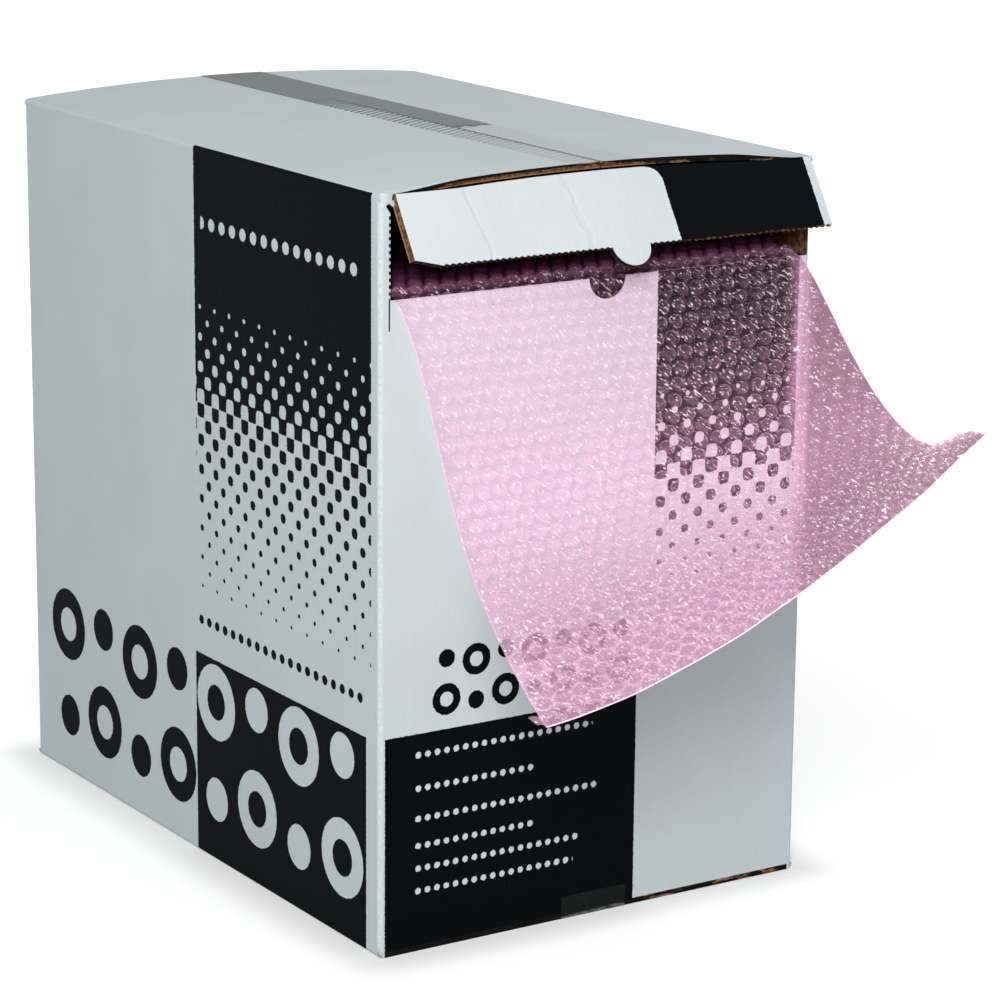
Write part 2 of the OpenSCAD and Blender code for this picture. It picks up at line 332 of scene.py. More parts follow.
def cut_edge_group():
    """Kraft colour of a cut board edge, with painted shade: the core between the liners is darkened,
    most in streaky hollows, and patches turn to EDGE_SHADE. Depth runs from 0 at one liner to 1 at
    the other. Shade is how much of the edge those patches of painted shade cover."""
    graph, given, result = new_group(
        "cut board edge", {"Place": None, "Depth": 0.5, "Shade": 0.0},
        {"Color": "Color", "Height": "Float"})
    streaks = graph.noise(given["Place"], 0.35, 3, 0.7).outputs[0]
    fuzz = graph.noise(given["Place"], 2.5, 1, 0.7).outputs[0]
    from_liner = graph.size(graph.minus(given["Depth"], 0.5))
    core = graph.opposite(graph.rise(from_liner, 0.26, 0.42))
    flute_shade = graph.product(core, graph.rise(graph.sum(streaks, graph.product(fuzz, 0.4)), 0.58, 0.78))
    inner = graph.sum(graph.product(core, 0.35), graph.product(flute_shade, 0.75))
    # the core between the liners is darkened with painted shade, most in its hollows
    tone = graph.mix(inner, KRAFT, KRAFT_CORE_SHADED)
    tone = graph.vector("SCALE", tone, graph.sum(graph.product(fuzz, 0.6), 0.7))
    stretched = graph.vector("MULTIPLY", given["Place"], (0.22, 0.6, 1.0))
    patches = graph.noise(stretched, 0.28, 3, 0.7).outputs[0]
    # patches of the edge painted in shade
    in_painted_shade = graph.rise(graph.sum(patches, given["Shade"]), 0.82, 0.96)
    graph.feed(result["Color"], graph.mix(in_painted_shade, tone, EDGE_SHADE))
    graph.feed(result["Height"], fuzz)
    return graph.tree


def halftone_group():
    """Ink mask of a fading band: solid above Solid, a chequer at Level, no dots below End."""
    graph, given, result = new_group(
        "fading dots",
        {"Across": 0.0, "Up": 0.0, "Pitch": 20.0, "Solid": 380.0, "Level": 318.0, "End": 190.0},
        {"Ink": "Float"})
    wave = graph.over(2 * math.pi, given["Pitch"])
    columns = graph.math("COSINE", graph.product(given["Across"], wave))
    rows = graph.math("COSINE", graph.product(given["Up"], wave))
    # The radius of a dot grows evenly from its smallest to where neighbouring dots meet.
    smallest, growth = 0.06, 0.168
    ink_share = graph.over(graph.minus(given["Up"], given["End"]),
                           graph.minus(given["Level"], given["End"]))
    gap_share = graph.over(graph.minus(given["Solid"], given["Up"]),
                           graph.minus(given["Solid"], given["Level"]))
    limits = []
    for share in (ink_share, gap_share):
        radius = graph.sum(graph.product(share, growth), smallest)
        limits.append(graph.product(radius, radius, 2 * math.pi**2))
    high = graph.above(given["Up"], given["Level"])
    ink_limit = graph.opposite(limits[0])
    gap_limit = graph.minus(limits[1], 1)
    limit = graph.sum(graph.product(high, gap_limit), graph.product(graph.opposite(high), ink_limit))
    dots = graph.above(graph.product(columns, rows), limit)
    dots = graph.product(dots, graph.above(given["Up"], given["End"]))
    graph.feed(result["Ink"], graph.either(dots, graph.above(given["Up"], given["Solid"])))
    return graph.tree


def rings_group():
    """Ink mask of a frieze of bold rings and discs that swap places from column to column."""
    graph, given, result = new_group(
        "rings and discs",
        {"Across": 0.0, "Up": 0.0, "Pitch": 58.0, "Height": 118.0},
        {"Ink": "Float"})
    column = graph.over(given["Across"], given["Pitch"])
    odd = graph.math("MODULO", graph.math("FLOOR", column), 2.0)
    side = graph.product(graph.minus(graph.math("FRACT", column), 0.5), given["Pitch"])

    def distance(place):
        return graph.length(side, graph.minus(given["Up"], graph.product(place, given["Height"])))

    ring_place = graph.sum(graph.product(odd, 0.50), 0.25)
    disc_place = graph.minus(0.83, graph.product(odd, 0.66))
    ring_r = graph.product(given["Pitch"], 0.345)
    half_stroke = graph.product(given["Pitch"], 0.125)
    off_ring = graph.size(graph.minus(distance(ring_place), ring_r))
    ring = graph.below(off_ring, half_stroke)
    disc = graph.below(distance(disc_place), graph.product(given["Pitch"], 0.27))
    graph.feed(result["Ink"], graph.either(ring, disc))
    return graph.tree


def dot_line_group():
    """Mask of a line of round dots from Start to End, at a given height."""
    graph, given, result = new_group(
        "line of dots",
        {"Across": 0.0, "Up": 0.0, "Start": 0.0, "End": 100.0, "Line": 0.0, "Pitch": 8.0},
        {"Dots": "Float"})
    from_start = graph.minus(given["Across"], given["Start"])
    share = graph.math("FRACT", graph.over(from_start, given["Pitch"]))
    side = graph.product(graph.minus(share, 0.5), given["Pitch"])
    distance = graph.length(side, graph.minus(given["Up"], given["Line"]))
    dots = graph.below(distance, graph.product(given["Pitch"], 0.3))
    inside = graph.product(graph.above(from_start, 0), graph.below(given["Across"], given["End"]))
    graph.feed(result["Dots"], graph.product(dots, inside))
    return graph.tree


def film_lattice_group():
    """How far a place on the film is from the nearest bubble's middle, in bubble radii."""
    graph, given, result = new_group(
        "staggered bubbles",
        {"Across": 0.0, "Along": 0.0, "Pitch": 11.7, "Row": 10.2, "Radius": 5.2},
        {"Distance": "Float"})

    def from_middle(shift):
        legs = []
        for label, pitch in (("Across", given["Pitch"]), ("Along", graph.product(given["Row"], 2))):
            share = graph.math("FRACT", graph.sum(graph.over(given[label], pitch), shift))
            legs.append(graph.product(graph.minus(share, 0.5), pitch))
        return graph.length(*legs)

    nearest = graph.math("MINIMUM", from_middle(0.0), from_middle(0.5))
    graph.feed(result["Distance"], graph.over(nearest, given["Radius"]))
    return graph.tree


LINER = liner_group()
CUT_EDGE = cut_edge_group()
HALFTONE = halftone_group()
RINGS = rings_group()
DOT_LINE = dot_line_group()
LATTICE = film_lattice_group()


# Print, in millimetres. Across runs from a panel's left or front corner, up from its base. A row of
# rings is given by its ends, its foot and head, the foot of its rings, their pitch and their height.
def ring_row(graph, across, up, ends, heights, foot, pitch, height):
    start, end = ends
    ink = graph.group(RINGS, Across=graph.minus(across, start), Up=graph.minus(up, foot),
                      Pitch=pitch, Height=height)["Ink"]
    return graph.product(ink, graph.within(across, start, end), graph.within(up, *heights))


def dot_line(graph, across, up, ends, line, pitch):
    start, end = ends
    return graph.group(DOT_LINE, Across=across, Up=up, Start=start, End=end, Line=line,
                       Pitch=pitch)["Dots"]


def front_ink(graph, across, up):
    """A fading band on the right, a solid block low on the left, and a row of rings above it."""
    band_left, band_right = 205, 317
    block_left, block_right, block_top = 4, 194, 144
    text_left, text_pitch = 25.0, 7.0
    text_lines = ((130.0, 160.0), (108.0, 116.0), (88.0, 164.0), (70.0, 116.0), (55.0, 152.0),
                  (40.0, 146.0))
    band = graph.within(across, band_left, band_right)
    fade = graph.group(HALFTONE, Across=across, Up=up, Pitch=20.0, Solid=345.0, Level=292.0, End=215.0)
    block = graph.product(graph.within(across, block_left, block_right), graph.below(up, block_top))
    name_row = ring_row(graph, across, up, (38, 192), (150, 200), foot=152, pitch=22.0, height=46.0)
    ink = graph.either(graph.either(graph.product(band, fade["Ink"]), block), name_row)
    for height, end in text_lines:
        dots = dot_line(graph, across, up, (text_left, end), height, text_pitch)
        ink = graph.minus(ink, graph.product(dots, block))
    return ink


def side_ink(graph, across, up):
    """A fading band with a title line, and below it rings that change tone where they cross a block."""
    band_left, band_right, title_low = 10, 237, 400
    block_left, block_right, block_top = 16, 241, 142
    band = graph.within(across, band_left, band_right)
    fade = graph.group(HALFTONE, Across=across, Up=up, Pitch=20.0, Solid=388.0, Level=318.0, End=188.0)
    upper = graph.product(band, fade["Ink"])
    title = dot_line(graph, across, up, (24.0, 228.0), 436.0, 14.0)
    upper = graph.minus(upper, graph.product(title, graph.above(up, title_low)))
    size_line = dot_line(graph, across, up, (18.0, 236.0), 166.0, 11.0)
    block = graph.product(graph.within(across, block_left, block_right), graph.below(up, block_top))
    row = ring_row(graph, across, up, (18, 464), (20, 145), foot=24, pitch=55.75, height=118.0)
    lower = graph.size(graph.minus(block, row))
    return graph.either(graph.either(upper, lower), size_line)


def bleeding(graph, place, reach):
    """How far the print's edges have run, up to half the reach either way."""
    return graph.product(graph.minus(graph.noise(place, 0.8, 0).outputs[0], 0.5), reach)


def wear_of(graph, place):
    return graph.noise(place, 0.45, 3, 0.7).outputs[0]


def printed_liner(graph, liner, ink, wear):
    """Liner with ink on it, rubbed a little grey where the wear is strongest."""
    scuffs = graph.rise(wear, 0.64, 0.80)
    return graph.mix(ink, liner["Color"], graph.mix(graph.product(scuffs, 0.2), INK, WORN_INK))


def lay_board(graph, shader, skin, printed, relief, edge, depth_mm):
    """Shows the printed liner where skin is 1, and the cut edge everywhere else."""
    graph.feed(shader.inputs["Base Color"], graph.mix(skin, edge["Color"], printed))
    cut_relief = graph.product(graph.opposite(skin), edge["Height"])
    bump(graph, shader, graph.sum(graph.product(skin, relief), cut_relief), depth_mm)


def carton_finish():
    """White lined board: print and kraft edges follow from the place on the carton."""
    material, graph, shader, _ = new_material(
        "printed_board", Roughness=0.6, IOR=1.45, Specular_IOR_Level=0.03)
    place = place_in_mm(graph)
    x, y, z = graph.split(place)
    facing = graph.split(graph.node("ShaderNodeNewGeometry").outputs["True Normal"])
    side_x, side_y = graph.size(facing[0]), graph.size(facing[1])
    out_x, out_y = graph.size(x), graph.size(y)
    half_w, half_d = HALF_W / MM, HALF_D / MM
    bow = graph.product(x, MM / HALF_W)
    roof = graph.minus((WALL_TOP + ROOF_RISE) / MM, graph.product(bow, bow, ROOF_RISE / MM))

    # White only on the blank's outer faces, and where the torn liner of the roof laps over its edge
    beyond = graph.either(graph.minus(out_x, half_w), graph.minus(out_y, half_d))
    beyond = graph.either(beyond, graph.either(graph.minus(z, roof), graph.product(z, -1)))
    outside = graph.above(beyond, -0.95)
    top_cut = graph.above(z, DECK / MM + 0.2)
    base_cut = graph.product(graph.below(z, BOARD / MM - 0.2), graph.below(out_x, half_w - BOARD / MM))
    base_cut = graph.product(base_cut, graph.above(out_y, half_d - 0.3))
    cut = graph.product(graph.above(side_y, 0.5), graph.either(top_cut, base_cut))
    depth_top = graph.over(graph.minus(roof, z), BOARD / MM)
    lap = graph.product(graph.rise(out_x, 95, 150), 0.55)
    torn_corner = graph.below(x, -half_w + 7.9)
    lapped = graph.product(top_cut, graph.either(graph.below(depth_top, lap), torn_corner))
    skin = graph.either(graph.product(outside, graph.opposite(cut)), lapped)

    # Flutes run up the walls and on across the roof
    along_front = graph.above(side_y, 0.6)
    across_flutes = graph.sum(graph.product(along_front, x),
                              graph.product(graph.opposite(along_front), y))
    liner = graph.group(LINER, Place=place, Across_Flutes=across_flutes)

    bleed = bleeding(graph, place, 0.9)
    up = graph.sum(z, bleed)
    on_front = graph.product(graph.below(y, -half_d + 1.2), graph.above(side_y, 0.5))
    on_side = graph.product(graph.below(x, -half_w + 1.2), graph.above(side_x, 0.5))
    front = graph.product(front_ink(graph, graph.sum(x, half_w, bleed), up), on_front)
    side = graph.product(side_ink(graph, graph.sum(y, half_d, bleed), up), on_side)
    wear = wear_of(graph, place)
    printed = printed_liner(graph, liner, graph.either(front, side), wear)

    # Torn teeth of the perforation beside the slot, and the slit that runs on below it, both painted
    # dark in EDGE_SHADE as shade
    slot_left = SLOT_LEFT / MM
    slit_low, teeth_low, teeth_high, tooth_pitch = 402, 422, 474, 4.2
    teeth = graph.above(graph.math("SINE", graph.product(z, 2 * math.pi / tooth_pitch)), -0.1)
    beside = graph.product(graph.within(x, slot_left - 1.1, slot_left + 1),
                           graph.within(z, teeth_low, teeth_high), teeth)
    slit = graph.product(graph.within(x, slot_left - 1.2, slot_left - 0.2),
                         graph.within(z, slit_low, teeth_low))
    torn = graph.product(graph.either(beside, slit), on_front)
    printed = graph.mix(torn, printed, EDGE_SHADE)

    # Folded corners are rubbed lighter, with a painted highlight along the upright folds as well, and
    # the kraft shows through at the lower ends
    fold_band_reach, fold_band_full = 3.5, 0.4
    upright_fold = graph.product(graph.rise(out_x, half_w - fold_band_reach, half_w - fold_band_full),
                                 graph.rise(out_y, half_d - fold_band_reach, half_d - fold_band_full))
    rub_and_highlight = graph.product(upright_fold, graph.rise(wear, 0.42, 0.62))
    printed = graph.mix(graph.product(rub_and_highlight, 0.55), printed, RUBBED_AND_LIT_LINER)
    low_end = graph.rise(z, 9, 1)
    bared = graph.product(upright_fold, low_end, graph.rise(wear, 0.40, 0.55))
    printed = graph.mix(bared, printed, KRAFT)

    # Edges lie in shade at the roof's torn end, under the base and at the slot's lip
    depth = graph.sum(graph.product(cut, graph.sum(depth_top, -0.5)), 0.5)
    from_tear = graph.size(graph.sum(x, 35))
    upper = graph.rise(depth_top, 0.62, 0.30, 0.0, 0.26)
    roof_shade = graph.product(top_cut, graph.sum(graph.rise(from_tear, 40, 115, 0.27, 0.52), upper))
    base_shade = graph.product(base_cut, graph.rise(x, 20, 44, 0.75, 0.47))
    at_lip = graph.within(z, SLOT_Z / MM - 12, SLOT_Z / MM + 0.3)
    slot_shade = graph.product(at_lip, graph.below(out_x, half_w - 2), 0.55)
    shade = graph.sum(roof_shade, base_shade, slot_shade)
    edge = graph.group(CUT_EDGE, Place=place, Depth=depth, Shade=shade)
    lay_board(graph, shader, skin, printed, liner["Height"], edge, 0.12)
    return material


def flap_finish():
    """The same board on the lifted flap, in the flap's own place as it hangs closed."""
    material, graph, shader, _ = new_material(
        "flap_board", Roughness=0.58, IOR=1.45, Specular_IOR_Level=0.03)
    place = place_in_mm(graph)
    hinge = tuple(c / MM for c in HINGE)
    turned = graph.node("ShaderNodeVectorRotate",
                        {"Vector": graph.vector("SUBTRACT", place, hinge), "Angle": FLAP_OPEN},
                        rotation_type="X_AXIS").outputs[0]
    x, y, z = graph.split(turned)
    skin = graph.below(y, 1.0)
    # the liner here is painted lighter than the walls' same liner, as light on the lifted flap
    liner = graph.group(LINER, Place=turned, Across_Flutes=x, Tone=FLAP_LINER_LIT)

    # Black field right of the middle, with a rounded corner against the fold
    field_left, field_right, corner_r = 42.0, 154.5, 10.0
    x_ink = graph.sum(x, bleeding(graph, place, 0.8))
    from_x = graph.minus(x_ink, field_left - corner_r)
    from_z = graph.sum(z, corner_r - 2.4)
    in_corner = graph.product(graph.above(from_x, 0), graph.above(from_z, 0))
    corner_ink = graph.product(in_corner, graph.above(graph.length(from_x, from_z), corner_r))
    ink = graph.either(graph.above(x_ink, field_left), corner_ink)
    ink = graph.product(ink, graph.below(x_ink, field_right))
    printed = printed_liner(graph, liner, ink, wear_of(graph, place))

    # Two slanting creases where the flap has been bent back, darkened a little with painted shade
    wander = graph.product(graph.minus(graph.noise(turned, 0.06, 2).outputs[0], 0.5), 14)
    folds = 0.0
    for foot, slant in ((-103.0, -0.13), (-31.0, -0.18)):
        line = graph.sum(x, graph.product(z, -slant), wander, -foot)
        folds = graph.either(folds, graph.opposite(graph.rise(graph.size(line), 0.2, 2.6)))
    printed = graph.mix(graph.product(folds, 0.10), printed, CREASE_SHADE_LINER)

    # The left end is cut clean, with a line of painted shade beside the outer liner; the long edge is
    # torn and painted in shade, most towards the left
    depth = graph.over(graph.minus(y, FLAP_GAP / MM), BOARD / MM)
    facing_x = graph.split(graph.node("ShaderNodeNewGeometry").outputs["True Normal"])[0]
    left_end = graph.product(graph.below(facing_x, -0.4), graph.below(x, -147))
    lip_shade = graph.product(left_end, graph.rise(depth, 0.30, 0.10, 0.0, 0.7))
    torn_shade = graph.product(graph.opposite(left_end), graph.rise(x, -30, 70, 0.66, 0.36))
    torn_shade = graph.product(torn_shade, graph.below(depth, 0.97))
    edge = graph.group(CUT_EDGE, Place=turned, Depth=depth, Shade=graph.sum(lip_shade, torn_shade))
    relief = graph.minus(liner["Height"], graph.product(folds, 1.8))
    lay_board(graph, shader, skin, printed, relief, edge, 0.14)
    return material


def film_colour(graph, beyond_shade, inside_shade, along, pink):
    """Pink over the panel, paler at the end as painted light, darker mauve beyond the panel and dark
    inside the slot, both as painted shade.
    """
    # painted shade inside the slot
    dark = graph.mix(graph.rise(along, -0.07, -0.17), FILM_SHADE_AT_LIP, FILM_SHADE_INSIDE)
    shaded_beyond = graph.mix(graph.rise(along, 0.15, 0.72), FILM_SHADE_BEYOND_DARK, FILM_SHADE_BEYOND_PALE)
    # painted light: paler towards the loose end
    pink = graph.mix(graph.rise(along, 0.45, 0.75), pink, FILM_END_LIT)
    return graph.mix(inside_shade, graph.mix(beyond_shade, pink, shaded_beyond), dark)


def slanting_creases(graph):
    """Height of short creases that slant across the film."""
    x, y, z = graph.split(place_in_mm(graph))
    grain = graph.join(graph.product(graph.sum(x, z), 0.50), graph.product(y, 0.30),
                       graph.product(graph.minus(x, z), 0.20))
    return graph.noise(grain, 1.0, 1, 0.6).outputs[0]


def round_the_feet(graph, creases):
    """1 in an uneven ring round the foot of each bubble."""
    across, along, _ = graph.split(graph.node("ShaderNodeUVMap", uv_map="film").outputs[0])
    lattice = graph.group(LATTICE, Across=across, Along=along, Pitch=FILM_W / MM / BUBBLES_ACROSS,
                          Row=FREE / MM / ROWS_OUT, Radius=BUBBLE_D / 2 / MM)
    off_foot = graph.rise(lattice["Distance"], 0.88, 1.02)
    near_foot = graph.rise(lattice["Distance"], 1.32, 1.06)
    return graph.product(off_foot, near_foot, graph.rise(creases, 0.3, 0.7, 0.4, 1.6))


def mixed(graph, share, under, over):
    """One shader laid over another in the given share."""
    both = graph.node("ShaderNodeMixShader", {"Fac": share})
    graph.feed(both.inputs[1], under.outputs[0])
    graph.feed(both.inputs[2], over.outputs[0])
    return both


def film_finish(name, tint, clear, walls, beyond_shade_density, end=0.0, between=0.0, pink=FILM_PINK):
    """Pink film: it passes light in the colour tint, scatters some in the colour pink, and mirrors
    a little. clear is how dense it is face on. The others say how much denser it is edge on
    (walls), where it stands free of the panel in painted shade (beyond_shade_density), at its
    far end in painted light (end) and round the feet of the bubbles (between)."""
    material, graph, shader, output = new_material(name, Roughness=0.4, Specular_IOR_Level=0.0)
    beyond_shade, inside_shade, along = (
        graph.node("ShaderNodeAttribute", attribute_name=label).outputs["Fac"]
        for label in ("beyond_shade", "inside_shade", "along"))

    # Painted glints: white marks where the crease noise peaks, more of them at the far end and none
    # inside the slot
    creases = slanting_creases(graph)
    glint_level = graph.sum(creases, graph.rise(along, 0.45, 0.80, 0.0, 0.04))
    painted_glints = graph.product(graph.rise(glint_level, 0.63, 0.71), graph.rise(inside_shade, 0.5, 0.0))
    colour = film_colour(graph, beyond_shade, inside_shade, along, pink)
    graph.feed(shader.inputs["Base Color"], graph.mix(painted_glints, colour, FILM_GLINT))
    edge_on = graph.node("ShaderNodeLayerWeight", {"Blend": 0.5}).outputs["Facing"]
    rounded = graph.product(edge_on, edge_on, edge_on, walls)
    thin = graph.sum(graph.product(rounded, graph.rise(beyond_shade, 0.0, 1.0, 1.0, 0.2)),
                     graph.rise(along, 0.08, 0.50, clear, clear + 0.08))
    if between:
        thin = graph.sum(thin, graph.product(round_the_feet(graph, creases), between))
    # the far end's extra density scatters its paler colour, painted light
    thick = graph.sum(graph.product(beyond_shade, beyond_shade_density), graph.product(inside_shade, INSIDE_SHADE_DENSITY),
                      graph.product(painted_glints, GLINT_DENSITY), graph.rise(along, 0.50, 0.88, 0.0, end))
    density = graph.math("MINIMUM", graph.sum(thin, thick), 1.0)

    # Painted light: the see-through tint is raised to make up for what the thin parts hold back, a
    # little more near the slot, and light on its way to the panel passes the film in PANEL_LIGHT,
    # brighter than without it, a painted pool of light on the panel; the loose end, which stands far
    # off, holds it back.
    painted_gain = graph.over(graph.rise(along, 0.0, 0.4, 1.05, 1.0),
                          graph.opposite(graph.math("MINIMUM", thin, 0.4)))
    path = graph.node("ShaderNodeLightPath").outputs
    lighting = graph.either(path["Is Shadow Ray"], path["Is Diffuse Ray"])
    held = graph.sum(graph.rise(along, LOOSE_START, LOOSE_FULL, 0.0, LOOSE_HOLD),
                     graph.product(inside_shade, 0.5))
    density = graph.sum(graph.product(density, graph.opposite(lighting)), graph.product(held, lighting))
    tint = graph.mix(lighting, graph.vector("SCALE", tint, painted_gain), PANEL_LIGHT)
    see_through = graph.node("ShaderNodeBsdfTransparent", {"Color": tint})
    body = mixed(graph, density, see_through, shader)

    # The creases show in the shine, which is weak on the sheet's inner side and inside the slot
    dents = graph.node("ShaderNodeBump", {"Height": creases, "Distance": 1.5 * MM, "Strength": 1.0})
    mirror = graph.node("ShaderNodeBsdfGlossy", {"Color": (1, 1, 1), "Roughness": FILM_GLOSS,
                                                 "Normal": dents.outputs[0]})
    share = graph.node("ShaderNodeFresnel", {"IOR": FILM_IOR, "Normal": dents.outputs[0]})
    inner_side = graph.node("ShaderNodeNewGeometry").outputs["Backfacing"]
    shine = graph.product(share.outputs[0], graph.opposite(graph.product(inside_shade, 0.65)),
                          graph.opposite(graph.product(inner_side, 0.85)), graph.opposite(lighting))
    graph.feed(output.inputs["Surface"], mixed(graph, shine, body, mirror).outputs[0])
    return material


def wound_film_finish():
    """The roll's outer turns: many layers of film, with the bubbles of the top one, coloured dark plum
    as painted shade of the carton's inside.
    """
    material, graph, shader, _ = new_material("wound_film", Roughness=0.3)
    place = place_in_mm(graph)
    layers = graph.noise(place, 0.08, 2).outputs[0]
    graph.feed(shader.inputs["Base Color"], graph.mix(layers, WOUND_SHADE_DARK, WOUND_SHADE_LIGHT))
    bump(graph, shader, layers, 2.0)
    return material


def top_tape_finish():
    """Thin grey packing tape. Left of the seam it lies on slanting lines of trapped air that fade
    towards the front, and right of it a dark length ends ragged."""
    material, graph, shader, _ = new_material(
        "top_tape", Roughness=0.42, IOR=1.48, Specular_IOR_Level=0.10)
    place = place_in_mm(graph)
    x, y, z = graph.split(place)
    grain = graph.noise(graph.vector("MULTIPLY", place, (1.1, 0.22, 1.0)), 1.0, 3, 0.7).outputs[0]
    ragged = graph.product(graph.minus(graph.noise(place, 0.16, 3).outputs[0], 0.5), 26)
    from_back = graph.sum(y, ragged)
    line_slope, line_pitch = -0.60, 7.0
    slant = graph.sum(y, graph.product(x, line_slope), graph.product(grain, 2.2))
    lines = graph.rise(graph.math("SINE", graph.product(slant, 2 * math.pi / line_pitch)), 0.15, 0.75)
    lines = graph.product(lines, graph.rise(from_back, -215.0, 60.0, 0.10, 0.85))
    packed = graph.rise(from_back, 20.0, 120.0, 0.0, 0.86)
    left_cover = graph.sum(graph.either(lines, packed), 0.06)
    right_cover = graph.rise(from_back, -72.0, -64.0, 0.03, 0.90)
    on_left = graph.below(x, 0.0)
    cover = graph.sum(graph.product(on_left, left_cover),
                      graph.product(graph.opposite(on_left), right_cover))
    from_seam = graph.size(graph.sum(x, graph.product(ragged, 0.02)))
    on_seam = graph.opposite(graph.rise(from_seam, 0.3, 0.9))
    seam = graph.product(on_seam, graph.rise(from_back, -30.0, -70.0))
    cover = graph.either(cover, graph.product(seam, 0.85))
    greys = graph.mix(grain, TAPE_DARK, TAPE_PALE)
    graph.feed(shader.inputs["Base Color"], graph.mix(seam, greys, TAPE_SEAM))
    graph.feed(shader.inputs["Alpha"], cover)
    bump(graph, shader, grain, 0.2)
    return material


def bottom_tape_finish():
    """Clear packing tape over the dark print, with a crease and a ragged, lifted rim."""
    material, graph, shader, _ = new_material(
        "bottom_tape", Roughness=0.32, IOR=1.48, Specular_IOR_Level=0.07)
    place = place_in_mm(graph)
    wrinkles = graph.noise(graph.vector("MULTIPLY", place, (0.12, 0.12, 0.3)), 1.0, 4, 0.6).outputs[0]
    x, y, z = graph.split(place)
    from_crease = graph.size(graph.sum(x, graph.product(z, 0.3), 4))
    crease = graph.opposite(graph.rise(from_crease, 0.2, 1.0))
    tone = graph.sum(graph.product(wrinkles, 0.5), graph.product(crease, 0.5))
    tone = graph.mix(tone, BASE_TAPE_DARK, BASE_TAPE_PALE)
    rim = graph.rise(graph.sum(z, graph.product(wrinkles, 9)), 6.6, 4.6)
    graph.feed(shader.inputs["Base Color"], graph.mix(graph.product(rim, 0.42), tone, BASE_TAPE_RIM))
    bump(graph, shader, graph.sum(wrinkles, crease), 0.4)
    return material


# Shape of the film
def bernstein(degree, t):
    t = np.asarray(t, float)
    terms = [math.comb(degree, i) * t**i * (1 - t) ** (degree - i) for i in range(degree + 1)]
    return np.stack(terms, -1)


def film_line(u, s):
    """Points of the film's inner face. u runs across it from 0 to 1, s along it in metres,
    from 0 at the slot's lip to FREE at the end, and below 0 back to the roll."""
    u, s = np.broadcast_arrays(np.asarray(u, float), np.asarray(s, float))
    v = np.clip(s / FREE, 0, 1)
    net = np.einsum("...j,...i,jik->...k", bernstein(5, v), bernstein(3, u), DRAPE)
    outside = [net[..., 0] * FILM_W / 2, LIP.y - net[..., 1] * FREE, LIP.z - net[..., 2] * FREE]
    points = np.stack(outside, -1)
    back = np.clip(-s, 0, None)[..., None]
    return points + back * np.array([0, math.cos(WEB_SLOPE), math.sin(WEB_SLOPE)])


def film_points(u, s):
    """film_line with the turn over the lip rounded."""
    steps = np.array([-3, -1.5, 0, 1.5, 3]) * MM
    s = np.asarray(s, float)
    soft = sum(film_line(u, np.clip(s + d, None, FREE)) for d in steps) / len(steps)
    near = np.clip(1 - np.abs(s) / LIP_BEND, 0, 1)[..., None]
    return film_line(u, s) * (1 - near) + soft * near


def unit(vectors):
    return vectors / np.linalg.norm(vectors, axis=-1, keepdims=True)


def film_frame(u, s):
    """Points, outward directions and crosswise directions of the film."""
    du, ds = 0.004, 0.0012
    u, s = np.broadcast_arrays(np.asarray(u, float), np.asarray(s, float))
    along = film_points(u, np.minimum(s + ds, FREE)) - film_points(u, s - ds)
    across = film_points(np.minimum(u + du, 1), s) - film_points(np.maximum(u - du, 0), s)
    return film_points(u, s), unit(np.cross(along, across)), unit(across)


def smooth_step(value, start, end):
    t = np.clip((value - start) / (end - start), 0, 1)
    return t * t * (3 - 2 * t)


def mark_film(mesh, u, s):
    """Marks where painted shade darkens the film, where it stands free of the panel beyond the
    carton's edge and where it lies inside the carton, and how far along its free length it is."""
    v = np.clip(s / FREE, 0, 1)
    beyond_slant, beyond_start, beyond_full = 0.475, 0.965, 1.035
    thinner = 0.22 * smooth_step(v, 0.5, 0.8)
    # painted shade: darker, denser film beyond the carton's edge
    beyond_shade = smooth_step(u + beyond_slant * v, beyond_start, beyond_full) * (1 - thinner)
    point_attribute(mesh, "beyond_shade", "FLOAT", beyond_shade)
    # painted shade on the film inside the carton
    point_attribute(mesh, "inside_shade", "FLOAT", smooth_step(-s, 5 * MM, 17 * MM))
    point_attribute(mesh, "along", "FLOAT", s / FREE)


def ripple(u, s):
    """Small loose waves of the film, in metres off its smooth drape."""
    waves_across, waves_along, height, start = 9, 22, 0.9 * MM, 0.04
    waves = [noise.noise(Vector((a * waves_across, b * waves_along, 3.1)))
             for a, b in zip(np.ravel(u), np.ravel(s) / FREE)]
    return np.reshape(waves, np.shape(u)) * height * np.clip(s / start, 0, 1)


def film_surface(u, s, lift):
    points, outward, across = film_frame(u, s)
    lift = lift + ripple(u, s)
    return points + outward * lift[..., None], outward, across


def link(name, mesh):
    piece = bpy.data.objects.new(name, mesh)
    scene.collection.objects.link(piece)
    return piece


def smooth(mesh):
    mesh.polygons.foreach_set("use_smooth", [True] * len(mesh.polygons))
    mesh.update()


def point_outwards(mesh, caps=(), merge=0.0):
    """Adds the faces in caps, merges points that are closer than merge, and turns faces outwards."""
    work = bmesh.new()
    work.from_mesh(mesh)
    work.verts.ensure_lookup_table()
    for cap in caps:
        work.faces.new([work.verts[i] for i in cap])
    if merge:
        bmesh.ops.remove_doubles(work, verts=work.verts, dist=merge)
    bmesh.ops.recalc_face_normals(work, faces=work.faces)
    work.to_mesh(mesh)
    work.free()
    smooth(mesh)


def finished(name, mesh, finish):
    mesh.materials.append(finish)
    return link(name, mesh)


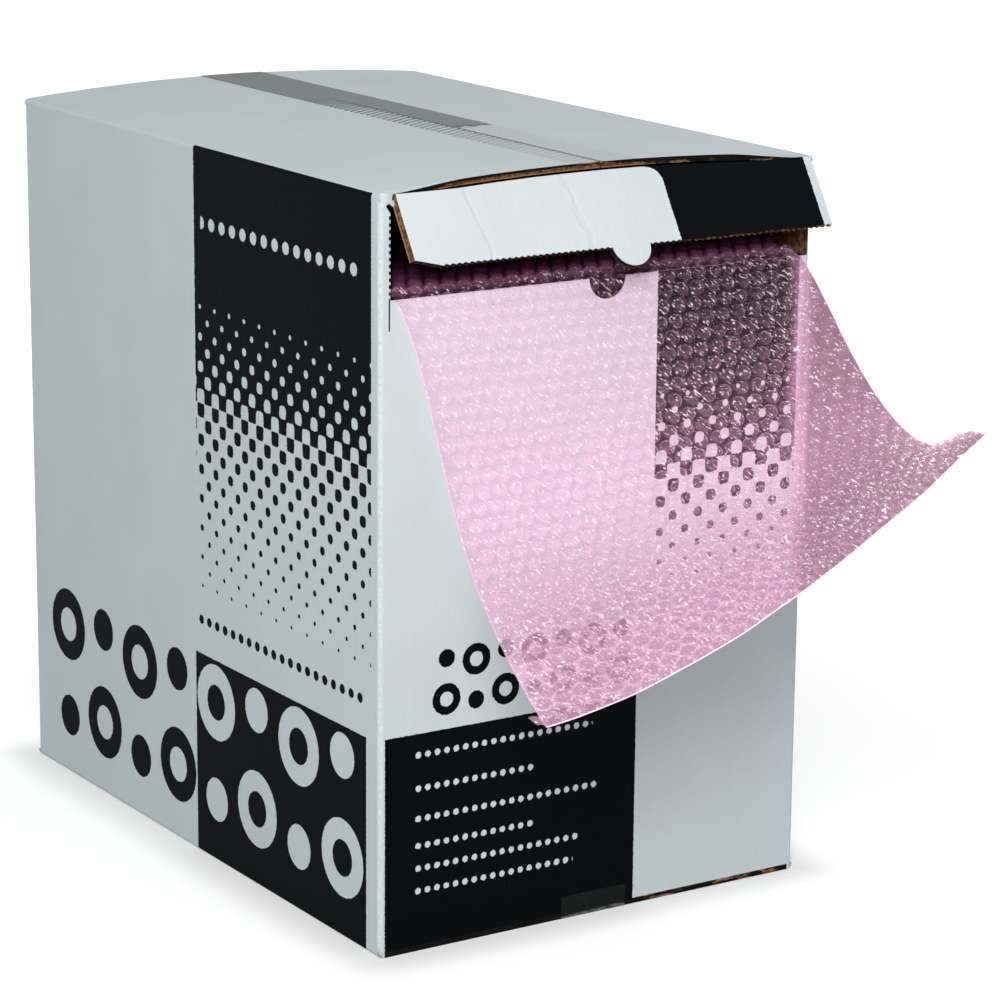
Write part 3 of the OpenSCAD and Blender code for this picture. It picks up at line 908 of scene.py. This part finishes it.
def grid_mesh(name, points, closed=False):
    """A quad mesh over an array of points, rows by columns."""
    rows, columns = points.shape[:2]
    faces = []
    for r in range(rows - 1):
        for c in range(columns if closed else columns - 1):
            a, b = r * columns + c, r * columns + (c + 1) % columns
            faces.append((a, b, b + columns, a + columns))
    mesh = bpy.data.meshes.new(name)
    mesh.from_pydata(points.reshape(-1, 3).tolist(), [], faces)
    mesh.validate()
    smooth(mesh)
    return mesh


def point_attribute(mesh, name, kind, values):
    made = mesh.attributes.new(name, kind, "POINT")
    field = "vector" if kind == "FLOAT_VECTOR" else "value"
    made.data.foreach_set(field, np.ravel(values).astype(np.float32))


def make_film_sheet(finish):
    """The backing from the roll over the lip to the torn end, closest where it bends."""
    across = np.linspace(0, 1, 105)
    inside = np.arange(-WEB, -LIP_BEND, 4 * MM)
    at_lip = np.arange(-LIP_BEND, LIP_BEND, 1 * MM)
    outside = np.linspace(LIP_BEND, FREE, 101)
    s, u = np.meshgrid(np.concatenate([inside, at_lip, outside]), across, indexing="ij")
    points, _, _ = film_surface(u, s, FILM_LIFT)
    u, s = u[:, ::-1], s[:, ::-1]
    mesh = grid_mesh("film_sheet", points[:, ::-1])
    mark_film(mesh, u, s)
    flat = np.stack([u.ravel() * FILM_W / MM, s.ravel() / MM], -1)
    corners = np.zeros(len(mesh.loops), int)
    mesh.loops.foreach_get("vertex_index", corners)
    mesh.uv_layers.new(name="film").data.foreach_set("uv", flat[corners].ravel())
    return finished("film_sheet", mesh, finish)


def bubble_shape():
    """One bubble of unit radius and height, with how far each point may dent."""
    rings, sides = 5, 12
    points, rise = [], []
    for i in range(rings):
        angle = math.pi / 2 * i / rings
        radius, height = math.cos(angle) ** 0.62, math.sin(angle) ** 0.85
        for k in range(sides):
            turn = 2 * math.pi * k / sides
            points.append((radius * math.cos(turn), radius * math.sin(turn), height))
            rise.append(height)
    points.append((0, 0, 1))
    rise.append(1)
    faces = []
    for i in range(rings - 1):
        for k in range(sides):
            low, high, after = i * sides, (i + 1) * sides, (k + 1) % sides
            faces.append((low + k, low + after, high + after, high + k))
    top = (rings - 1) * sides
    faces += [(top + k, top + (k + 1) % sides, len(points) - 1) for k in range(sides)]
    mesh = bpy.data.meshes.new("one_bubble")
    mesh.from_pydata(points, [], faces)
    point_attribute(mesh, "rise", "FLOAT", rise)
    return link("one_bubble", mesh)


def bubble_tree():
    """Stands a copy of one bubble on each point, each a little different."""
    tree = bpy.data.node_groups.new("stand bubbles on film", "GeometryNodeTree")
    sockets = (("Geometry", "Geometry"), ("Bubble", "Object"), ("Width", "Float"), ("Height", "Float"),
               ("Slack", "Float"), ("Dents", "Float"), ("Seed", "Int"), ("Finish", "Material"))
    for label, kind in sockets:
        tree.interface.new_socket(label, in_out="INPUT", socket_type="NodeSocket" + kind)
    tree.interface.new_socket("Geometry", in_out="OUTPUT", socket_type="NodeSocketGeometry")
    graph = Graph(tree)
    given = graph.node("NodeGroupInput").outputs

    def attribute(name, kind):
        made = graph.node("GeometryNodeInputNamedAttribute", {"Name": name}, data_type=kind)
        return made.outputs["Attribute"]

    def share(offset):
        seed = graph.sum(given["Seed"], offset)
        return graph.node("FunctionNodeRandomValue", {"Seed": seed}).outputs[1]

    turn = graph.node("FunctionNodeAxesToRotation",
                      {"Primary Axis": attribute("out", "FLOAT_VECTOR"),
                       "Secondary Axis": attribute("across", "FLOAT_VECTOR")},
                      primary_axis="Z", secondary_axis="X")
    shrink = [graph.opposite(graph.product(share(i), given["Slack"])) for i in range(3)]
    size = graph.join(graph.product(given["Width"], shrink[0]), graph.product(given["Width"], shrink[1]),
                      graph.product(given["Height"], shrink[2], shrink[0]))
    bubble = graph.node("GeometryNodeObjectInfo", {"Object": given["Bubble"]}).outputs["Geometry"]
    stand = graph.node("GeometryNodeInstanceOnPoints",
                       {"Points": given["Geometry"], "Instance": bubble,
                        "Rotation": turn.outputs[0], "Scale": size})
    whole = graph.node("GeometryNodeRealizeInstances", {"Geometry": stand.outputs[0]})
    waves = graph.noise(graph.node("GeometryNodeInputPosition").outputs[0], 210.0, 1).outputs["Color"]
    push = graph.vector("SCALE", graph.vector("SUBTRACT", waves, (0.5, 0.5, 0.5)),
                        graph.product(given["Dents"], attribute("rise", "FLOAT")))
    dented = graph.node("GeometryNodeSetPosition", {"Geometry": whole.outputs[0], "Offset": push})
    shaded = graph.node("GeometryNodeSetShadeSmooth", {"Geometry": dented.outputs[0]})
    dressed = graph.node("GeometryNodeSetMaterial",
                         {"Geometry": shaded.outputs[0], "Material": given["Finish"]})
    graph.feed(graph.node("NodeGroupOutput").inputs[0], dressed.outputs[0])
    return tree


def apply_tree(piece, tree, **inputs):
    """Runs a geometry tree on a piece and keeps the result as its plain mesh."""
    modifier = piece.modifiers.new("build", "NODES")
    modifier.node_group = tree
    for item in tree.interface.items_tree:
        if item.in_out == "INPUT" and item.name in inputs:
            modifier[item.identifier] = inputs[item.name]
    depsgraph = bpy.context.evaluated_depsgraph_get()
    mesh = bpy.data.meshes.new_from_object(
        piece.evaluated_get(depsgraph), preserve_all_data_layers=True, depsgraph=depsgraph)
    piece.modifiers.clear()
    piece.data = mesh
    return piece


def make_bubbles(finish):
    """Staggered rows of bubbles on the free film and on the web just inside the slot."""
    u, s = [], []
    for row in range(-ROWS_IN, ROWS_OUT):
        first = 1 if row % 2 else 2
        for i in range(first, 2 * BUBBLES_ACROSS, 2):
            u.append(i / (2 * BUBBLES_ACROSS))
            s.append((row + 0.5) / ROWS_OUT * FREE)
    u, s = np.array(u), np.array(s)
    points, outward, across = film_surface(u, s, FOOT_LIFT)
    mesh = bpy.data.meshes.new("film_bubbles")
    mesh.from_pydata(points.tolist(), [], [])
    point_attribute(mesh, "out", "FLOAT_VECTOR", outward)
    point_attribute(mesh, "across", "FLOAT_VECTOR", across)
    mark_film(mesh, u, s)
    template = bubble_shape()
    bubbles = apply_tree(link("film_bubbles", mesh), bubble_tree(), Bubble=template, Width=BUBBLE_D / 2,
                         Height=BUBBLE_H, Slack=0.16, Dents=1.5 * MM, Seed=5, Finish=finish)
    bpy.data.objects.remove(template)
    return bubbles


def sweep(name, path, radius, sides, finish):
    """A closed round bead along a path."""
    path = np.asarray(path, float)
    ahead = unit(np.gradient(path, axis=0))
    side = unit(np.cross(ahead, (0.31, 0.17, 0.93)))
    other = np.cross(ahead, side)
    turns = np.arange(sides) * 2 * math.pi / sides
    rings = path[:, None] + radius * (np.cos(turns)[None, :, None] * side[:, None]
                                      + np.sin(turns)[None, :, None] * other[:, None])
    mesh = grid_mesh(name, rings, closed=True)
    last = len(path) * sides
    point_outwards(mesh, caps=[range(sides), range(last - 1, last - 1 - sides, -1)])
    return finished(name, mesh, finish)


def make_film_edges(side_finish, end_finish):
    """The sealed rims of the sheet: both sides and the torn perforation at the end."""
    down = np.linspace(2 * MM, FREE, 90)
    over = np.linspace(0, 1, 90)
    pieces = []
    bead_r, sides = 0.5 * MM, 6
    for name, u, s, finish in (("film_left_rim", 0 * down, down, side_finish),
                               ("film_right_rim", 0 * down + 1, down, side_finish),
                               ("film_torn_end", over, 0 * over + FREE, end_finish)):
        points, _, _ = film_surface(u, s, FILM_LIFT)
        pieces.append(sweep(name, points, bead_r, sides, finish))
    return pieces


def make_turned_corner(finish):
    """A small tongue of film, turned out beside the sheet's lower left corner."""
    length, width, turn_up, bow = 14 * MM, 7.5 * MM, 2.5 * MM, 1.2 * MM
    along, around = np.meshgrid(np.linspace(0, 1, 10), np.linspace(0, 1, 10), indexing="ij")
    s = FREE - length * (1 - along)
    points, outward, across = film_surface(0 * s, s, FILM_LIFT)
    reach = width * around * (1 - 0.3 * along)
    sag = bow * np.sin(math.pi * around)
    upright = np.array([0, 0, 1]) * (turn_up * around)[..., None]
    curl = upright - across * reach[..., None] + outward * sag[..., None]
    mesh = grid_mesh("film_turned_corner", points + curl)
    mark_film(mesh, 1 + 0 * s, s)
    return finished("film_turned_corner", mesh, finish)


def make_torn_curl(finish):
    """A scrap of white liner, torn loose at the slot's upper left corner."""
    foot, height, width, bow = 478.5, 8.6, 10.0, 2.4
    over, up = np.meshgrid(np.linspace(0, 1, 8), np.linspace(0, 1, 8))
    x = SLOT_LEFT / MM - (7.3 - width * over + 1.5 * up * over)
    out = 0.5 + bow * np.sin(math.pi * over) * (0.3 + 0.7 * up)
    ragged = 1.2 * over * (1 - 2 * up) - 1.4 * np.sin(9 * over) * (1 - up)
    z = foot + height * up + ragged
    mesh = grid_mesh("torn_curl", np.stack([x, -HALF_D / MM - out, z], -1) * MM)
    return finished("torn_curl", mesh, finish)


def make_wound_film(finish):
    """The wound turns, with a groove between every two laps on both ends."""
    eye_r, lap, groove, sides = 0.03, 6.4 * MM, 1.2 * MM, 96
    end_x = FILM_W / 2
    profile = [(eye_r, -end_x)]
    laps = int((ROLL_R - eye_r) / lap)
    for k in range(laps):
        start = eye_r + k * lap
        profile.append((start + 0.3 * lap, -end_x))
        profile.append((start + 0.6 * lap, -end_x + groove))
        profile.append((start + 0.9 * lap, -end_x))
    profile.append((ROLL_R - 1 * MM, -end_x))
    profile += [(r, -x) for r, x in reversed(profile)]
    turns = np.arange(sides) * 2 * math.pi / sides
    r, x = np.array(profile).T
    points = np.stack([np.repeat(x[:, None], sides, 1), r[:, None] * np.cos(turns),
                       ROLL_Z + r[:, None] * np.sin(turns)], -1)
    mesh = grid_mesh("wound_film", np.concatenate([points, points[:1]]), closed=True)
    point_outwards(mesh, merge=1e-6)
    return finished("wound_film", mesh, finish)


# Floor, background and light
def seen_directly(graph):
    """1 for rays from the camera, off a mirror or through glass, to which the backdrop is white."""
    path = graph.node("ShaderNodeLightPath").outputs
    seen = graph.either(path["Is Camera Ray"], path["Is Glossy Ray"])
    return graph.either(seen, path["Is Transmission Ray"])


def make_stage():
    """A floor that turns white away from the carton, with a painted contact shadow: its glow is lowest
    where the two meet.
    """
    mesh = bpy.data.meshes.new("floor")
    reach = 6.0
    corners = [(-reach, -reach, 0), (reach, -reach, 0), (reach, reach, 0), (-reach, reach, 0)]
    mesh.from_pydata(corners, [], [(0, 1, 2, 3)])
    material = bpy.data.materials.new("pale_floor")
    material.use_nodes = True
    material.node_tree.nodes.clear()
    graph = Graph(material.node_tree)
    matt = graph.node("ShaderNodeBsdfDiffuse", {"Color": (0.50, 0.50, 0.50)})
    place = graph.node("ShaderNodeTexCoord").outputs["Object"]
    away = graph.vector("LENGTH", place)
    beside = graph.vector("SUBTRACT", graph.vector("ABSOLUTE", place), (HALF_W, HALF_D, 0))
    beside = graph.vector("MAXIMUM", beside, (0, 0, 0))
    off_base = graph.vector("LENGTH", beside)
    # The glow drops close to the base as a painted contact shadow, and rises far off so the floor stays
    # white
    painted_shadow_glow, beside_carton, far_off, contact_reach = 0.40, 0.66, 0.29, 0.045
    level = graph.sum(graph.rise(off_base, 0.0, contact_reach, painted_shadow_glow, beside_carton),
                      graph.rise(away, 0.38, 0.9, 0.0, far_off))
    strength = graph.product(seen_directly(graph), level)
    glow = graph.node("ShaderNodeEmission", {"Color": (1, 1, 1), "Strength": strength})
    both = graph.node("ShaderNodeAddShader")
    graph.feed(both.inputs[0], matt.outputs[0])
    graph.feed(both.inputs[1], glow.outputs[0])
    graph.feed(graph.node("ShaderNodeOutputMaterial").inputs["Surface"], both.outputs[0])
    mesh.materials.append(material)
    link("floor", mesh)


def make_world():
    world = bpy.data.worlds.new("studio")
    world.use_nodes = True
    world.node_tree.nodes.clear()
    graph = Graph(world.node_tree)
    soft = graph.node("ShaderNodeBackground", {"Color": (0.985, 1.0, 1.0), "Strength": 0.42})
    white = graph.node("ShaderNodeBackground", {"Color": (1, 1, 1), "Strength": 1.0})
    both = mixed(graph, seen_directly(graph), soft, white)
    graph.feed(graph.node("ShaderNodeOutputWorld").inputs["Surface"], both.outputs[0])
    scene.world = world


def make_lamp(name, place, aim, size, power, shine_only=False):
    data = bpy.data.lights.new(name, "AREA")
    data.shape = "SQUARE"
    data.size = size
    data.energy = power
    lamp = bpy.data.objects.new(name, data)
    lamp.visible_diffuse = not shine_only
    lamp.matrix_world = Matrix.Translation(place) @ (
        Vector(place) - Vector(aim)).to_track_quat("Z", "Y").to_matrix().to_4x4()
    scene.collection.objects.link(lamp)


def make_lights():
    """Two soft lamps, and small ones that only draw glints on the film. A row holds a lamp's name,
    its direction from the middle and its power."""
    soft_far, soft_size, glint_far, glint_size = 2.8, 0.9, 2.6, 0.12
    middle = Vector((0, -0.1, 0.3))
    softs = (("key", (-0.53, -0.75, 0.41), 55),
             ("back_fill", (0.70, 0.60, 0.38), 12))
    for name, way, power in softs:
        make_lamp(name, middle + soft_far * Vector(way), middle, soft_size, power)
    film_middle = Vector((0.02, -0.36, 0.30))
    glints = (("glint_right", (0.47, -0.49, 0.73), 9.0),
              ("glint_left", (-0.45, -0.60, 0.66), 7.0),
              ("glint_low", (0.80, -0.55, 0.25), 6.0),
              ("glint_back", (0.30, 0.77, 0.57), 9.0),
              ("glint_top", (-0.10, -0.20, 0.97), 7.0),
              ("glint_front", (0.10, -0.88, 0.46), 5.0))
    for name, way, power in glints:
        place = film_middle + glint_far * Vector(way)
        make_lamp(name, place, film_middle, glint_size, power, shine_only=True)


def dress(node, finish):
    """Puts a finish on one of the frame's own pieces."""
    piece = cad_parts[node]
    for slot in piece.material_slots:
        slot.material = finish
    if not piece.material_slots:
        piece.data.materials.append(finish)


make_camera()
scene.view_settings.view_transform = "Standard"
make_stage()
make_world()
make_lights()

printed_board = carton_finish()
dress("carton", printed_board)
dress("dispenser_flap", flap_finish())
dress("top_tape", top_tape_finish())
dress("bottom_tape", bottom_tape_finish())

thin_film = film_finish("film_backing", BACKING_TINT, 0.015, 0.26, 0.96, end=0.42, between=0.07)
bubble_film = film_finish("film_bubble", BUBBLE_TINT, 0.008, 0.30, 0.20)
rim_film = film_finish("film_rim", BACKING_TINT, 0.16, 0.35, 0.3, pink=RIM_PINK)
end_film = film_finish("film_torn_end", BACKING_TINT, 0.60, 0.35, 0.3, pink=TORN_PINK)

sheet = make_film_sheet(thin_film)
bubbles = make_bubbles(bubble_film)
rims = make_film_edges(rim_film, end_film)
corner = make_turned_corner(rim_film)
wound = make_wound_film(wound_film_finish())

film_pieces = [sheet, bubbles, *rims, corner, wound]
for piece in film_pieces:
    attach(piece, "carton")
    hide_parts("film_roll")

curl = make_torn_curl(printed_board)
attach(curl, "carton")
